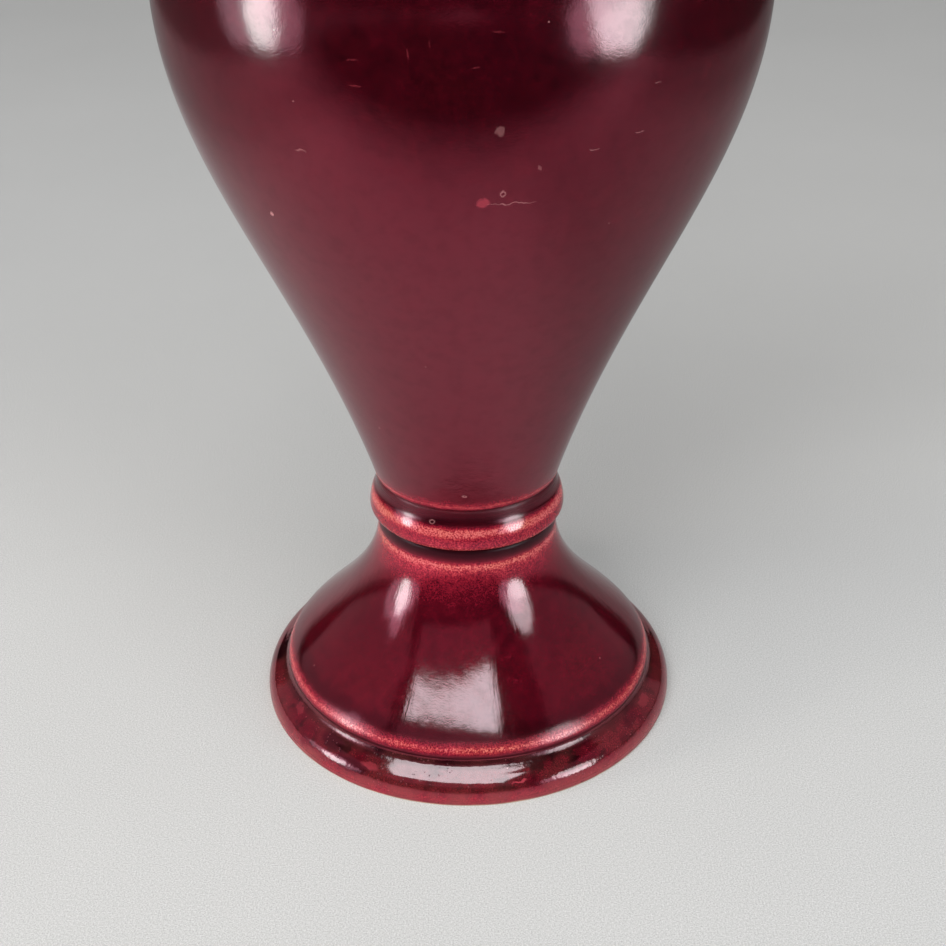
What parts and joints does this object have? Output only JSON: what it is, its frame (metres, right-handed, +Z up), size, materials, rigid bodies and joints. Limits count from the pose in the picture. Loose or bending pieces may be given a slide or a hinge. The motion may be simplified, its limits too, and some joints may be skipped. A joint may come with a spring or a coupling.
{
  "type": "two-handled vase",
  "caption": "Tall glazed ceramic vase with an inverted-pear body on a collared bell foot, a flared neck and a loop handle on each side, for flowers or display.",
  "frame": {"origin": "on the table under the vase's axis, in the plane of the contact ring", "axes": "+Z up along the axis, +X towards the right handle, -Y towards the viewer of the picture"},
  "size_m": [0.1372, 0.1358, 0.325],
  "materials": {
    "oxblood_glaze": "glossy copper-red glaze, dark where thick, with fine mottling",
    "thin_glaze": "the same glaze worn thin on edges, speckled brick red, with a raw clay contact ring underneath"
  },
  "bodies": {
    "root": {"base_ring": "thin_glaze", "foot_bell": "oxblood_glaze", "collar_ring": "thin_glaze", "body_lower": "oxblood_glaze", "body_upper": "oxblood_glaze", "neck": "oxblood_glaze", "mouth_rim": "thin_glaze", "handle_right": "oxblood_glaze", "handle_left": "oxblood_glaze"}
  },
  "joints": []
}
